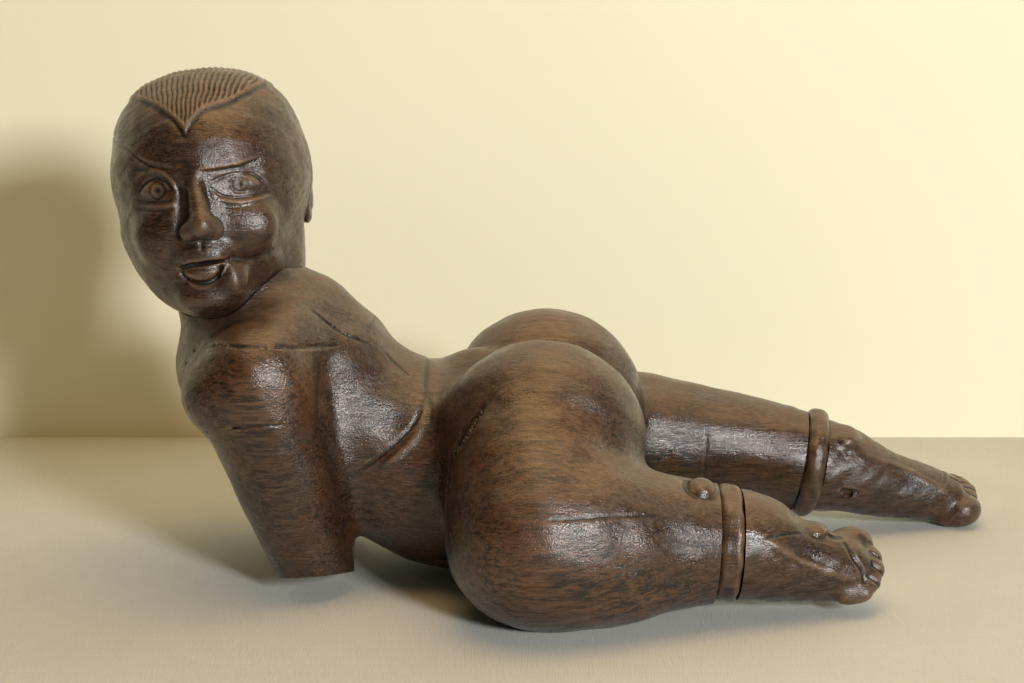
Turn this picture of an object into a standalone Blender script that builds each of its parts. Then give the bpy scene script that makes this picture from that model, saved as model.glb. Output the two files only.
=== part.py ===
"""Carved wooden crawling infant, a life-size doll built from joined blocks.

Metres, +Z up. +X runs from the head to the feet, -Y is the infant's left side. The origin is on the
ground, in the worn flat under the belly.

The blocks are a head, a trunk, two arms, two legs and two feet. A turned anklet ring sits on a round
tenon between each leg and its foot. Dowels hold the neck, the shoulders and the hips, and a peg locks
each foot on its tenon. The figure is first massed as one body, so that the surface runs on across every
joint, and is then cut into its blocks.
"""

import math

import bmesh
import bpy
from mathutils import Euler, Matrix, Vector

# Driving dimensions
GAP = 0.0003  # clearance left in every glued joint
ARM_REACH = 0.006  # how far the arm blocks reach past the bare limb, into the body's fillets
LEG_REACH = 0.004
KEEL_HALF = 0.012  # half the thickness of the trunk's keel between the two hip blocks
SHOULDER_HALF = 0.036  # half the distance between the flat shoulder joints
SHOULDER_LEVEL = 0.150  # the height where that distance holds
SHOULDER_LEAN = math.radians(10.5)  # the joints draw together below it
SHOULDER_TOP = 0.176  # the trunk's shoulder caps lap over the arms at this height
BODY_VOXEL = 0.0045
FINE_VOXEL = 0.0026

HEAD_CENTRE = Vector((-0.202, 0.0, 0.261))
HEAD_TURN = Euler((math.radians(-9), math.radians(-5), math.radians(0)), "XYZ")
NECK_POINT = Vector((-0.183, 0.0, 0.184))
NECK_NORMAL = Vector((-0.25, 0.0, 0.968)).normalized()

# Limbs are balls joined by cones: (centre, radius) from the body outwards.
LEFT_ARM = (((-0.165, -0.064, 0.150), 0.040), ((-0.159, -0.062, 0.120), 0.039),
            ((-0.150, -0.058, 0.093), 0.0375), ((-0.1447, -0.056, 0.071), 0.0353),
            ((-0.1366, -0.052, 0.039), 0.0300), ((-0.127, -0.048, -0.002), 0.0228))
LEFT_THIGH = (((0.014, -0.066, 0.098), 0.058), ((0.017, -0.106, 0.057), 0.0605))
LEFT_SHIN = (((0.038, -0.104, 0.055), 0.059), ((0.056, -0.100, 0.052), 0.0560),
             ((0.086, -0.097, 0.050), 0.0465), ((0.133, -0.088, 0.0468), 0.0385),
             ((0.165, -0.087, 0.0455), 0.0360))
RIGHT_THIGH = (((0.024, 0.066, 0.096), 0.056), ((0.052, 0.106, 0.056), 0.0585))
RIGHT_SHIN = (((0.060, 0.104, 0.060), 0.053), ((0.093, 0.098, 0.065), 0.0495),
              ((0.136, 0.0955, 0.0635), 0.0415), ((0.173, 0.093, 0.061), 0.0365),
              ((0.202, 0.091, 0.053), 0.0368), ((0.240, 0.087, 0.046), 0.0330))
SPINE = (((-0.171, 0.0, 0.151), 0.0530), ((-0.138, 0.0, 0.120), 0.0635),
         ((-0.088, 0.0, 0.090), 0.0635), ((-0.045, 0.0, 0.073), 0.0700),
         ((0.008, 0.0, 0.072), 0.0760))
NECK = (((-0.172, 0.0, 0.160), 0.047), ((-0.186, 0.0, 0.205), 0.043))
SHOULDERS = ((-0.152, 0.0, 0.163), (0.041, 0.085, 0.043))  # centre, radii
UPPER_BACK = ((-0.122, 0.0, 0.147), (0.042, 0.058, 0.043))
LEFT_BUTTOCK = ((0.020, -0.052, 0.106), (0.069, 0.057, 0.067))
RIGHT_BUTTOCK = ((0.024, 0.052, 0.105), (0.069, 0.057, 0.067))

# The trunk keeps the front of the hips: this plane ends both hip blocks.
HIP_POINT = (-0.010, 0.0, 0.148)
HIP_NORMAL = (-0.84, 0.0, 0.541)

STUMP_POINT = (-0.131, -0.049, 0.012)  # centre of the left wrist's flat seat
STUMP_NORMAL = Vector((0.075, -0.26, -0.96)).normalized()

# Ankle joints: the anklet's centre, the leg's direction there, the anklet's radius, how far the tenon
# enters the foot, the way to the foot's peg hole, and how deep below the ankle's axis that hole opens.
LEFT_ANKLE = (Vector((0.1386, -0.0875, 0.0468)), Vector((0.998, 0.01, -0.05)).normalized(), 0.0378, 0.020,
              Vector((0, 0.92, -0.39)), 0.033)
RIGHT_ANKLE = (Vector((0.2180, 0.0885, 0.0490)), Vector((0.985, -0.04, -0.16)).normalized(), 0.0400, 0.030,
               Vector((0, -0.92, -0.39)), 0.029)
ANKLET_WIDTH = 0.016
TENON_RADIUS = 0.018
PEG_RADIUS = 0.0035
PEG_RECESS = 0.003
DOWEL_RADIUS = 0.008

WOOD = {"carved_wood": (0.115, 0.062, 0.038), "turned_ring": (0.125, 0.064, 0.036),
        "dowel_wood": (0.33, 0.21, 0.12)}


# ---------------------------------------------------------------- scene and materials

def clear_scene():
    for thing in list(bpy.data.objects):
        bpy.data.objects.remove(thing)


def wood(name):
    """Returns the named wood, made once."""
    found = bpy.data.materials.get(name)
    if found:
        return found
    made = bpy.data.materials.new(name)
    made.use_nodes = True
    shader = made.node_tree.nodes["Principled BSDF"]
    shader.inputs["Base Color"].default_value = (*WOOD[name], 1.0)
    shader.inputs["Roughness"].default_value = 0.42
    shader.inputs["Metallic"].default_value = 0.0
    return made


def object_from(name, shape, material=None, helper=False):
    """Makes an object from a bmesh. A helper is a cutter, which isn't part of the doll."""
    mesh = bpy.data.meshes.new(name)
    bmesh.ops.recalc_face_normals(shape, faces=shape.faces)
    shape.to_mesh(mesh)
    shape.free()
    made = bpy.data.objects.new(name, mesh)
    bpy.context.scene.collection.objects.link(made)
    if material:
        mesh.materials.append(wood(material))
    if helper:
        made.hide_render = True
        made.display_type = "WIRE"
    return made


# ---------------------------------------------------------------- basic shapes

def mirrored(limb):
    """The same limb on the infant's other side."""
    return tuple(((x, -y, z), radius) for (x, y, z), radius in limb)


def grown(limb, by):
    return tuple((centre, radius + by) for centre, radius in limb)


def add_ball(shape, centre, radii, turn=None, segments=24):
    """Adds an ellipsoid with the three radii, turned about its own centre."""
    turn = turn.to_matrix().to_4x4() if turn else Matrix.Identity(4)
    place = Matrix.Translation(centre) @ turn @ Matrix.Diagonal((*radii, 1.0))
    bmesh.ops.create_uvsphere(shape, u_segments=segments, v_segments=segments // 2, radius=1.0, matrix=place)


def add_limb(shape, limb, segments=24):
    """Adds a ball at each station and a cone between each pair, tangent to both balls."""
    for centre, radius in limb:
        add_ball(shape, centre, (radius,) * 3, segments=segments)
    for (start, r0), (end, r1) in zip(limb, limb[1:]):
        axis = Vector(end) - Vector(start)
        length = axis.length
        lean = (r0 - r1) / length
        rise = math.sqrt(max(0.0, 1.0 - lean * lean))
        foot = Vector(start) + axis * (r0 * lean / length)
        head = Vector(end) + axis * (r1 * lean / length)
        place = Matrix.Translation((foot + head) / 2) @ axis.to_track_quat("Z", "Y").to_matrix().to_4x4()
        bmesh.ops.create_cone(shape, cap_ends=True, segments=segments, radius1=r0 * rise, radius2=r1 * rise,
                              depth=(head - foot).length, matrix=place)


def rod(name, centre, axis, radius, length, material=None, helper=False, segments=28, ease=0.0):
    """A round rod centred on centre, with its ends eased by a small chamfer."""
    shape = bmesh.new()
    place = Matrix.Translation(centre) @ Vector(axis).to_track_quat("Z", "Y").to_matrix().to_4x4()
    bmesh.ops.create_cone(shape, cap_ends=True, segments=segments, radius1=radius, radius2=radius,
                          depth=length, matrix=place)
    if ease:
        rims = [e for e in shape.edges if any(len(f.verts) > 4 for f in e.link_faces)]
        bmesh.ops.bevel(shape, geom=rims, offset=ease, segments=1, affect="EDGES")
    return object_from(name, shape, material, helper)


def half_space(shape, point, normal):
    """Cuts the shape flat and keeps what lies behind the plane, opposite its normal."""
    everything = shape.verts[:] + shape.edges[:] + shape.faces[:]
    cut = bmesh.ops.bisect_plane(shape, geom=everything, plane_co=point, plane_no=normal, clear_outer=True)
    rim = [e for e in cut["geom_cut"] if isinstance(e, bmesh.types.BMEdge)]
    bmesh.ops.holes_fill(shape, edges=rim, sides=0)


# ---------------------------------------------------------------- massing

def massed(add_shapes, voxel, smoothing, keep):
    """Fuses overlapping shapes into one smooth closed skin, thinned to the share keep of its faces."""
    shape = bmesh.new()
    add_shapes(shape)
    lump = object_from("lump", shape, helper=True)
    fuse = lump.modifiers.new("Fuse", "REMESH")
    fuse.mode = "VOXEL"
    fuse.voxel_size = voxel
    blend = lump.modifiers.new("Blend", "SMOOTH")
    blend.factor = 0.5
    blend.iterations = smoothing
    thin = lump.modifiers.new("Thin", "DECIMATE")
    thin.ratio = keep
    thin.use_collapse_triangulate = True
    bpy.context.view_layer.update()
    graph = bpy.context.evaluated_depsgraph_get()
    skin = bmesh.new()
    skin.from_mesh(lump.evaluated_get(graph).to_mesh())
    bpy.data.objects.remove(lump)
    return skin


def add_body(shape):
    """Trunk, arms and legs down to the ankles."""
    add_limb(shape, SPINE)
    add_limb(shape, NECK)
    for centre, radii in (SHOULDERS, UPPER_BACK, LEFT_BUTTOCK, RIGHT_BUTTOCK):
        add_ball(shape, centre, radii)
    add_limb(shape, LEFT_ARM)
    add_limb(shape, mirrored(LEFT_ARM))
    for limb in (LEFT_THIGH, LEFT_SHIN, RIGHT_THIGH, RIGHT_SHIN):
        add_limb(shape, limb)


def add_head(shape):
    """Cranium, face, jaw, nose, ears and nape."""
    def place(x, y, z, radii, tip=0.0):
        local = HEAD_TURN.to_matrix() @ Vector((x, y, z))
        turn = (HEAD_TURN.to_matrix() @ Matrix.Rotation(tip, 3, "X")).to_euler()
        add_ball(shape, HEAD_CENTRE + local, radii, turn)

    place(0.0025, 0.006, 0.014, (0.0665, 0.074, 0.069))
    place(0, -0.008, -0.020, (0.059, 0.060, 0.062))
    place(0, -0.030, -0.056, (0.034, 0.030, 0.028))
    place(0, -0.068, -0.016, (0.011, 0.014, 0.022), math.radians(-12))
    for side in (1, -1):
        place(side * 0.026, -0.044, -0.028, (0.024, 0.020, 0.024))
        place(side * 0.0645, 0.021, -0.002, (0.006, 0.013, 0.027))
    add_ball(shape, (-0.178, 0.010, 0.213), (0.040, 0.044, 0.036))


def foot_adder(sole, toes):
    """Returns the function that adds a foot: a tapering sole and a row of toes."""
    def add(shape):
        add_limb(shape, sole)
        for centre, radius in toes:
            x, y, z = centre
            add_limb(shape, (((x - 0.012, y, z - 0.002), radius), ((x, y, z), radius)), segments=16)
    return add


LEFT_SOLE = (((0.143, -0.088, 0.0462), 0.0362), ((0.155, -0.087, 0.0443), 0.0345),
             ((0.169, -0.086, 0.0381), 0.0302), ((0.179, -0.085, 0.0351), 0.0276),
             ((0.200, -0.083, 0.0300), 0.0240), ((0.214, -0.081, 0.0275), 0.0215))
LEFT_TOES = (((0.228, -0.062, 0.0365), 0.0115), ((0.235, -0.074, 0.0320), 0.0085),
             ((0.236, -0.083, 0.0265), 0.0080), ((0.233, -0.091, 0.0210), 0.0075),
             ((0.227, -0.098, 0.0165), 0.0070))
RIGHT_SOLE = (((0.222, 0.0885, 0.0480), 0.0345), ((0.242, 0.089, 0.0439), 0.0310), ((0.257, 0.090, 0.0376), 0.0277),
              ((0.274, 0.092, 0.0315), 0.0245), ((0.299, 0.095, 0.0250), 0.0215), ((0.318, 0.098, 0.0200), 0.0180))
RIGHT_TOES = (((0.335, 0.090, 0.0125), 0.0120), ((0.339, 0.103, 0.0165), 0.0085),
              ((0.340, 0.111, 0.0195), 0.0078), ((0.337, 0.119, 0.0215), 0.0075),
              ((0.332, 0.127, 0.0225), 0.0070))


# ---------------------------------------------------------------- cutting into blocks

def limb_region(name, limbs, reach, planes, balls=()):
    """A helper that holds everything belonging to a limb block: the limb grown by reach, behind the planes."""
    def add(shape):
        for limb in limbs:
            add_limb(shape, grown(limb, reach), segments=20)
        for centre, radii in balls:
            add_ball(shape, centre, tuple(r + reach for r in radii), segments=20)

    shape = massed(add, BODY_VOXEL, 2, 0.05)
    for point, normal in planes:
        half_space(shape, point, normal)
    return object_from(name, shape, helper=True)


def socket_for(region):
    """A helper that is the region with the joint's clearance all round."""
    shape = bmesh.new()
    shape.from_mesh(region.data)
    shape.normal_update()
    moves = [(v, v.normal * GAP * v.calc_shell_factor()) for v in shape.verts]
    for vertex, move in moves:
        vertex.co += move
    return object_from(region.name + "_socket", shape, helper=True)


def boolean(target, cutter, operation):
    step = target.modifiers.new(f"{operation.title()} {cutter.name}", "BOOLEAN")
    step.object = cutter
    step.operation = operation
    step.solver = "EXACT"


def block(name, skin, material="carved_wood"):
    """A block cut from a copy of a massed skin."""
    return object_from(name, skin.copy(), material)


def smooth(thing, angle=35):
    thing.data.shade_smooth()
    thing.data.set_sharp_from_angle(angle=math.radians(angle))


def anklet(name, ankle):
    """A turned ring: a square bore and a rounded rim, spun about the leg's axis."""
    centre, axis, radius = ankle[:3]
    half = ANKLET_WIDTH / 2 - GAP
    bore = TENON_RADIUS + GAP
    round_from = radius - half
    profile = [(bore, -half), (round_from, -half)]
    profile += [(round_from + half * math.cos(t), half * math.sin(t))
                for t in (math.radians(a) for a in range(-60, 61, 30))]
    profile += [(round_from, half), (bore, half)]
    shape = bmesh.new()
    points = [shape.verts.new((r, 0, z)) for r, z in profile]
    ring = [shape.edges.new(pair) for pair in zip(points, points[1:] + points[:1])]
    bmesh.ops.spin(shape, geom=points + ring, cent=(0, 0, 0), axis=(0, 0, 1), angle=math.tau, steps=32,
                   use_merge=True)
    bmesh.ops.remove_doubles(shape, verts=shape.verts, dist=1e-6)
    bmesh.ops.transform(shape, matrix=Matrix.Translation(centre) @ axis.to_track_quat("Z", "Y").to_matrix().to_4x4(),
                        verts=shape.verts)
    return object_from(name, shape, "turned_ring")


def leg_block(name, skin, region, ankle):
    """A hip, thigh and shin block, cut flat at the anklet, with a round tenon on its end."""
    centre, axis, _, depth = ankle[:4]
    shape = skin.copy()
    half_space(shape, centre - axis * (ANKLET_WIDTH / 2), axis)
    leg = object_from(name, shape, "carved_wood")
    boolean(leg, region, "INTERSECT")
    overlap = 0.012
    length = overlap + ANKLET_WIDTH + depth - GAP
    start = centre - axis * (ANKLET_WIDTH / 2 + overlap)
    tenon = rod(name + "_tenon", start + axis * (length / 2), axis, TENON_RADIUS, length, helper=True)
    boolean(leg, tenon, "UNION")
    return leg


def foot_block(name, sole, toes, ankle):
    """A foot, cut flat at the anklet, with a round socket for the tenon and flat where it rests."""
    centre, axis, _, tenon = ankle[:4]
    shape = massed(foot_adder(sole, toes), FINE_VOXEL, 4, 0.075)
    face = centre + axis * (ANKLET_WIDTH / 2)
    half_space(shape, face, -axis)
    half_space(shape, (0, 0, 0), (0, 0, -1))
    foot = object_from(name, shape, "carved_wood")
    depth = tenon + GAP
    mouth = 0.004
    socket = rod(name + "_socket", face + axis * ((depth - mouth) / 2), axis, TENON_RADIUS + GAP, depth + mouth,
                 helper=True)
    boolean(foot, socket, "DIFFERENCE")
    return foot


def dowel_joint(name, centre, axis, length, blocks, radius=DOWEL_RADIUS):
    """A dowel, and the bore for it in every block that it passes through."""
    pin = rod(name, centre, axis, radius, length, "dowel_wood", segments=20, ease=0.001)
    bore = rod(name + "_bore", centre, axis, radius + GAP, length + 4 * GAP, helper=True, segments=20)
    for each in blocks:
        boolean(each, bore, "DIFFERENCE")
    return pin


def ankle_peg(name, ankle, blocks):
    """A peg driven through the foot's wall into the tenon, and its hole, which stays open outside the peg."""
    centre, axis, _, depth, outward, surface = ankle
    outward = (outward - axis * outward.dot(axis)).normalized()
    middle = centre + axis * (ANKLET_WIDTH / 2 + depth * 0.66)
    inner, outer, outside = 0.002, surface - PEG_RECESS, surface + 0.012
    pin = rod(name, middle + outward * (inner + outer) / 2, outward, PEG_RADIUS, outer - inner, "dowel_wood",
              segments=16)
    start = inner - GAP
    bore = rod(name + "_bore", middle + outward * (start + outside) / 2, outward, PEG_RADIUS + GAP,
               outside - start, helper=True, segments=16)
    for each in blocks:
        boolean(each, bore, "DIFFERENCE")
    return pin


def build():
    clear_scene()
    body = massed(add_body, BODY_VOXEL, 9, 0.055)
    half_space(body, (0, 0, 0), (0, 0, -1))
    half_space(body, NECK_POINT, NECK_NORMAL)

    arms, legs, feet = {}, {}, {}
    trunk = block("trunk", body)
    for side, name in ((1, "left"), (-1, "right")):
        limb = LEFT_ARM if side > 0 else mirrored(LEFT_ARM)
        seat = ((0, -side * SHOULDER_HALF, SHOULDER_LEVEL),
                (0, side * math.cos(SHOULDER_LEAN), math.sin(SHOULDER_LEAN)))
        planes = (seat, ((0, 0, SHOULDER_TOP), (0, 0, 1)))
        region = limb_region(f"{name}_arm_region", (limb,), ARM_REACH, planes)
        boolean(trunk, socket_for(region), "DIFFERENCE")
        shape = body.copy()
        x, y, z = STUMP_POINT
        nx, ny, nz = STUMP_NORMAL
        half_space(shape, (x, side * y, z), (nx, side * ny, nz))
        arms[name] = object_from(f"{name}_arm", shape, "carved_wood")
        boolean(arms[name], region, "INTERSECT")

    for name, limbs, hip, ankle, side in (
            ("left", (LEFT_THIGH, LEFT_SHIN), LEFT_BUTTOCK, LEFT_ANKLE, 1),
            ("right", (RIGHT_THIGH, RIGHT_SHIN), RIGHT_BUTTOCK, RIGHT_ANKLE, -1)):
        planes = (((0, -side * KEEL_HALF, 0), (0, side, 0)), (HIP_POINT, HIP_NORMAL))
        region = limb_region(f"{name}_leg_region", limbs, LEG_REACH, planes, (hip,))
        boolean(trunk, socket_for(region), "DIFFERENCE")
        legs[name] = leg_block(f"{name}_leg", body, region, ankle)

    feet["left"] = foot_block("left_foot", LEFT_SOLE, LEFT_TOES, LEFT_ANKLE)
    feet["right"] = foot_block("right_foot", RIGHT_SOLE, RIGHT_TOES, RIGHT_ANKLE)
    rings = [anklet("left_anklet", LEFT_ANKLE), anklet("right_anklet", RIGHT_ANKLE)]

    skull = massed(add_head, FINE_VOXEL, 6, 0.034)
    half_space(skull, NECK_POINT + NECK_NORMAL * GAP, -NECK_NORMAL)
    head = object_from("head", skull, "carved_wood")

    pins = [dowel_joint("neck_dowel", NECK_POINT, NECK_NORMAL, 0.060, (head, trunk), radius=0.010),
            dowel_joint("left_shoulder_dowel", (-0.160, -SHOULDER_HALF, 0.140), (0, 1, 0), 0.050, (trunk, arms["left"])),
            dowel_joint("right_shoulder_dowel", (-0.160, SHOULDER_HALF, 0.140), (0, 1, 0), 0.050, (trunk, arms["right"])),
            dowel_joint("front_hip_dowel", (-0.008, 0, 0.070), (0, 1, 0), 0.110, (trunk, *legs.values())),
            dowel_joint("rear_hip_dowel", (0.040, 0, 0.100), (0, 1, 0), 0.110, (trunk, *legs.values())),
            ankle_peg("left_ankle_peg", LEFT_ANKLE, (legs["left"], feet["left"])),
            ankle_peg("right_ankle_peg", RIGHT_ANKLE, (legs["right"], feet["right"]))]

    body.free()
    for thing in (trunk, head, *arms.values(), *legs.values(), *feet.values(), *rings, *pins):
        smooth(thing)


build()
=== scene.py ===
"""Looks of the carved crawling infant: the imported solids, sculpted and given their aged wood.

Each block is sculpted as a signed distance field in millimetres, in the frame's own axes: negative inside
the wood, positive outside. The limbs are massed from balls, cones and ellipsoids, and blurred so that they
flow together. Carved detail is then added to the fields, and they are cut at the solids' joints. The legs'
seams run a few millimetres wide of the solids', and the trunk has a collar that rises round the head.
"""

import math

import bpy
import numpy as np
from mathutils import Euler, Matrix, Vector


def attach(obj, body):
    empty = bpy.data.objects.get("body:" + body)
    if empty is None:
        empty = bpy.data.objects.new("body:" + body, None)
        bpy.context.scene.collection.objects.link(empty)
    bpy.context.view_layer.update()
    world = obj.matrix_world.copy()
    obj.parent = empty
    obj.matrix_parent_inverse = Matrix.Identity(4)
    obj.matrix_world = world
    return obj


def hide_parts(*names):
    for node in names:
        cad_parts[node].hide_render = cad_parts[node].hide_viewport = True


MM = 0.001

# ---- the figure's skeleton, as in the solids

LEFT_ARM = (((-165, -64, 150), 40.0), ((-159, -62, 120), 39.0), ((-150, -58, 93), 37.5),
            ((-144.7, -56, 71), 35.3), ((-136.6, -52, 39), 30.0), ((-127, -48, -2), 22.8))
LEFT_THIGH = (((14, -66, 98), 58.0), ((17, -106, 57), 60.5))
LEFT_SHIN = (((38, -104, 55), 59.0), ((56, -100, 52), 56.0), ((86, -97, 50), 46.5),
             ((133, -88, 46.8), 38.5), ((165, -87, 45.5), 36.0))
RIGHT_THIGH = (((24, 66, 96), 56.0), ((52, 106, 56), 58.5))
RIGHT_SHIN = (((60, 104, 60), 53.0), ((93, 98, 65), 49.5), ((136, 95.5, 63.5), 41.5),
              ((173, 93, 61), 36.5), ((202, 91, 53), 36.8), ((240, 87, 46), 33.0))
SPINE = (((-171, 0, 151), 53.0), ((-138, 0, 120), 63.5), ((-88, 0, 90), 63.5), ((-45, 0, 73), 70.0),
         ((8, 0, 72), 76.0))
NECK = (((-172, 0, 160), 47.0), ((-186, 0, 205), 43.0))
SHOULDERS = ((-152, 0, 163), (41, 85, 43))
UPPER_BACK = ((-122, 0, 147), (42, 58, 43))
LEFT_BUTTOCK = ((20, -52, 106), (69, 57, 67))
RIGHT_BUTTOCK = ((24, 52, 105), (69, 57, 67))

SEAM = 0.01  # half the hairline left between two blocks
NECK_CREASE = 0.5  # gap between the head and the collar that rises around it
GAP = 0.3  # clearance round tenons and rings
ARM_REACH, LEG_REACH = 6.0, 7.5  # how far the limbs' blocks reach past the bare limb
KEEL_HALF, SHOULDER_HALF, SHOULDER_LEVEL, SHOULDER_TOP = 12.0, 36.0, 150.0, 176.0
SHOULDER_LEAN = math.radians(10.5)
HIP_POINT, HIP_NORMAL = np.array((-10, 0, 148.0)), np.array((-0.84, 0, 0.541))
STUMP_POINT, STUMP_NORMAL = np.array((-131, -49, 12.0)), np.array((0.0752, -0.2607, -0.9625))
NECK_POINT, NECK_NORMAL = np.array((-183, 0, 184.0)), np.array((-0.25, 0, 0.9682))

NECK_BORE, SHOULDER_BORE, HIP_BORE = (10.3, 60.8), (8.3, 50.8), (8.3, 110.8)  # radius and length
SHOULDER_DOWEL = (-160, 36, 140)
HIP_DOWELS = ((-8, 0, 70), (40, 0, 100))
ACROSS = (0, 1, 0)

HEAD_CENTRE = np.array((-202.0, 0, 261))
HEAD_TURN = np.array(Euler((math.radians(-9), math.radians(-5), 0), "XYZ").to_matrix())

# raised forms: centre, radii, and the blend into the body
SHOULDER_FRONT = ((-180, -64, 141), (34.5, 35, 31), 8)
CHEST = ((-186, -4, 148), (40.5, 60, 40), 8)
NAPE = ((-152, 0, 168), (52, 44, 42.5), 8)
WAIST = ((-22, 8, 118), (38, 34, 36), 6)
LEFT_SHIN_KNOB = ((120, -100, 86), (10, 11, 8), 3)
RIGHT_SHIN_RIDGE = ((204, 91, 82), (6.5, 17, 7), 3)
RIGHT_SHIN_KNOB = ((203, 82, 18), (8, 9, 5), 4)
BODY_KNOBS = (CHEST, SHOULDER_FRONT, NAPE, WAIST, LEFT_SHIN_KNOB, RIGHT_SHIN_RIDGE, RIGHT_SHIN_KNOB)


def mirrored(limb):
    return tuple(((x, -y, z), r) for (x, y, z), r in limb)


# ---- distance fields

def ellipsoid(p, centre, radii):
    """Nearly the distance to an ellipsoid."""
    d = p - np.array(centre, np.float32)
    e = d / np.array(radii, np.float32)
    f = e / np.array(radii, np.float32)
    near = np.sqrt(np.einsum("ij,ij->i", e, e))
    slope = np.sqrt(np.einsum("ij,ij->i", f, f)) + 1e-6
    return near * (near - 1) / slope


def cone(p, a, ra, b, rb):
    """Distance to two balls and the cone tangent to both."""
    a, b = np.array(a, np.float32), np.array(b, np.float32)
    ba = b - a
    l2, rr = float(ba @ ba), ra - rb
    a2 = l2 - rr * rr
    pa = p - a
    y = pa @ ba
    z = y - l2
    x = pa * l2 - y[:, None] * ba
    x2 = np.einsum("ij,ij->i", x, x)
    y2, z2 = y * y * l2, z * z * l2
    k = np.sign(rr) * rr * rr * x2
    side = (np.sqrt(x2 * a2 / l2) + y * rr) / l2 - ra
    out = np.where(np.sign(y) * a2 * y2 < k, np.sqrt(x2 + y2) / l2 - ra, side)
    return np.where(np.sign(z) * a2 * z2 > k, np.sqrt(x2 + z2) / l2 - rb, out)


def limb(p, stations, grow=0.0):
    """Distance to a limb of balls joined by cones."""
    out = None
    for (a, ra), (b, rb) in zip(stations, stations[1:]):
        d = cone(p, a, ra + grow, b, rb + grow)
        out = d if out is None else np.minimum(out, d)
    return out


def join(a, b, blend=0.0):
    """Union of two fields, with a fillet of about blend millimetres."""
    if blend <= 0:
        return np.minimum(a, b)
    h = np.maximum(blend - np.abs(a - b), 0) / blend
    return np.minimum(a, b) - h * h * blend / 4


def beyond(p, point, normal):
    """Distance past a plane, positive on the side its normal points to."""
    return (p - np.array(point, np.float32)) @ np.array(normal, np.float32)


def cut_away(a, b, blend):
    """What is left of field a when b is cut from it."""
    return -join(-a, b, blend)


def rounded_path(points, steps=5):
    """Points of a smooth curve through the given ones."""
    p = np.array(points, float)
    if len(p) < 3:
        return p
    p = np.vstack([2 * p[0] - p[1], p, 2 * p[-1] - p[-2]])
    out = []
    for a, b, c, d in zip(p, p[1:], p[2:], p[3:]):
        for t in np.arange(steps) / steps:
            out.append(0.5 * (2 * b + (c - a) * t + (2 * a - 5 * b + 4 * c - d) * t * t
                              + (3 * b - a - 3 * c + d) * t ** 3))
    return np.array(out + [p[-2]])


def along_path(p, path):
    """Distance to a path, and how far along it the nearest point is, from 0 to 1."""
    lengths = np.linalg.norm(np.diff(path, axis=0), axis=1)
    starts = np.concatenate([[0], np.cumsum(lengths)])
    best = np.full(len(p), 1e9, np.float32)
    share = np.zeros(len(p), np.float32)
    for a, b, length, start in zip(path, path[1:], lengths, starts):
        ab = (b - a).astype(np.float32)
        pa = p - a.astype(np.float32)
        t = np.clip(pa @ ab / (length * length), 0, 1)
        off = pa - t[:, None] * ab
        d = np.einsum("ij,ij->i", off, off)
        nearer = d < best
        best = np.where(nearer, d, best)
        share = np.where(nearer, start + t * length, share)
    return np.sqrt(best), share / starts[-1]


def stroke(p, path, width, depth, sharp=False, taper=0.25):
    """Depth of a gouged line at each place.

    The line is width wide to each side. It thins out at its ends, over a share taper of its length.
    """
    out = np.zeros(len(p), np.float32)
    near = np.flatnonzero(((p > path.min(0) - width) & (p < path.max(0) + width)).all(1))
    if not len(near):
        return out
    d, t = along_path(p[near], path)
    ends = np.clip(np.minimum(t, 1 - t) / taper, 0, 1) ** 0.7 if taper else 1.0
    x = np.clip(1 - d / width, 0, 1)
    out[near] = depth * ends * (x if sharp else x * x * (3 - 2 * x))
    return out


def fade(x, start, end):
    """Smoothly from 0 at start to 1 at end."""
    t = np.clip((x - start) / (end - start), 0, 1)
    return t * t * (3 - 2 * t)


def waves(p, length, seed):
    """Smooth wandering noise of about unit size, with the given wavelength."""
    rng = np.random.default_rng(seed)
    out = np.zeros(len(p), np.float32)
    for _ in range(7):
        way = rng.normal(size=3)
        way = way / np.linalg.norm(way) * 2 * math.pi / (length * rng.uniform(0.7, 1.5))
        out += np.sin(p @ way.astype(np.float32) + rng.uniform(0, 6.28))
    return out / 2.2


class Blurred:
    """A field worked out on a coarse grid, blurred and read back smoothly, so that shapes flow together."""

    def __init__(self, field, low, high, step, blur):
        self.low, self.step = np.array(low, np.float32), step
        size = np.ceil((np.array(high) - low) / step).astype(int) + 1
        axes = [self.low[i] + step * np.arange(size[i], dtype=np.float32) for i in range(3)]
        p = np.stack(np.meshgrid(*axes, indexing="ij"), -1).reshape(-1, 3)
        grid = field(p).reshape(size)
        sigma = math.sqrt(blur * blur - step * step / 4) / step
        reach = max(1, int(3 * sigma + 0.5))
        taps = np.exp(-0.5 * (np.arange(-reach, reach + 1) / sigma) ** 2)
        taps /= taps.sum()
        for axis in range(3):
            pad = [(0, 0)] * 3
            pad[axis] = (reach, reach)
            wide = np.pad(grid, pad, mode="reflect", reflect_type="odd")
            grid = sum(t * np.take(wide, range(i, i + size[axis]), axis) for i, t in enumerate(taps))
        self.grid = grid.astype(np.float32)

    def __call__(self, p):
        """Quadratic B-spline reading."""
        top = np.array(self.grid.shape, np.float32) - 2.51
        at = np.clip((p - self.low) / self.step, 1.49, top)
        base = np.floor(at + 0.5).astype(np.int32)
        t = (at - base).astype(np.float32)
        weights = (0.5 * (0.5 - t) ** 2, 0.75 - t * t, 0.5 * (0.5 + t) ** 2)
        ny, nz = self.grid.shape[1:]
        flat = self.grid.reshape(-1)
        out = np.zeros(len(p), np.float32)
        for i in range(3):
            for j in range(3):
                wij = weights[i][:, 0] * weights[j][:, 1]
                row = ((base[:, 0] + i - 1) * ny + base[:, 1] + j - 1) * nz + base[:, 2] - 1
                for k in range(3):
                    out += wij * weights[k][:, 2] * flat[row + k]
        return out


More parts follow.
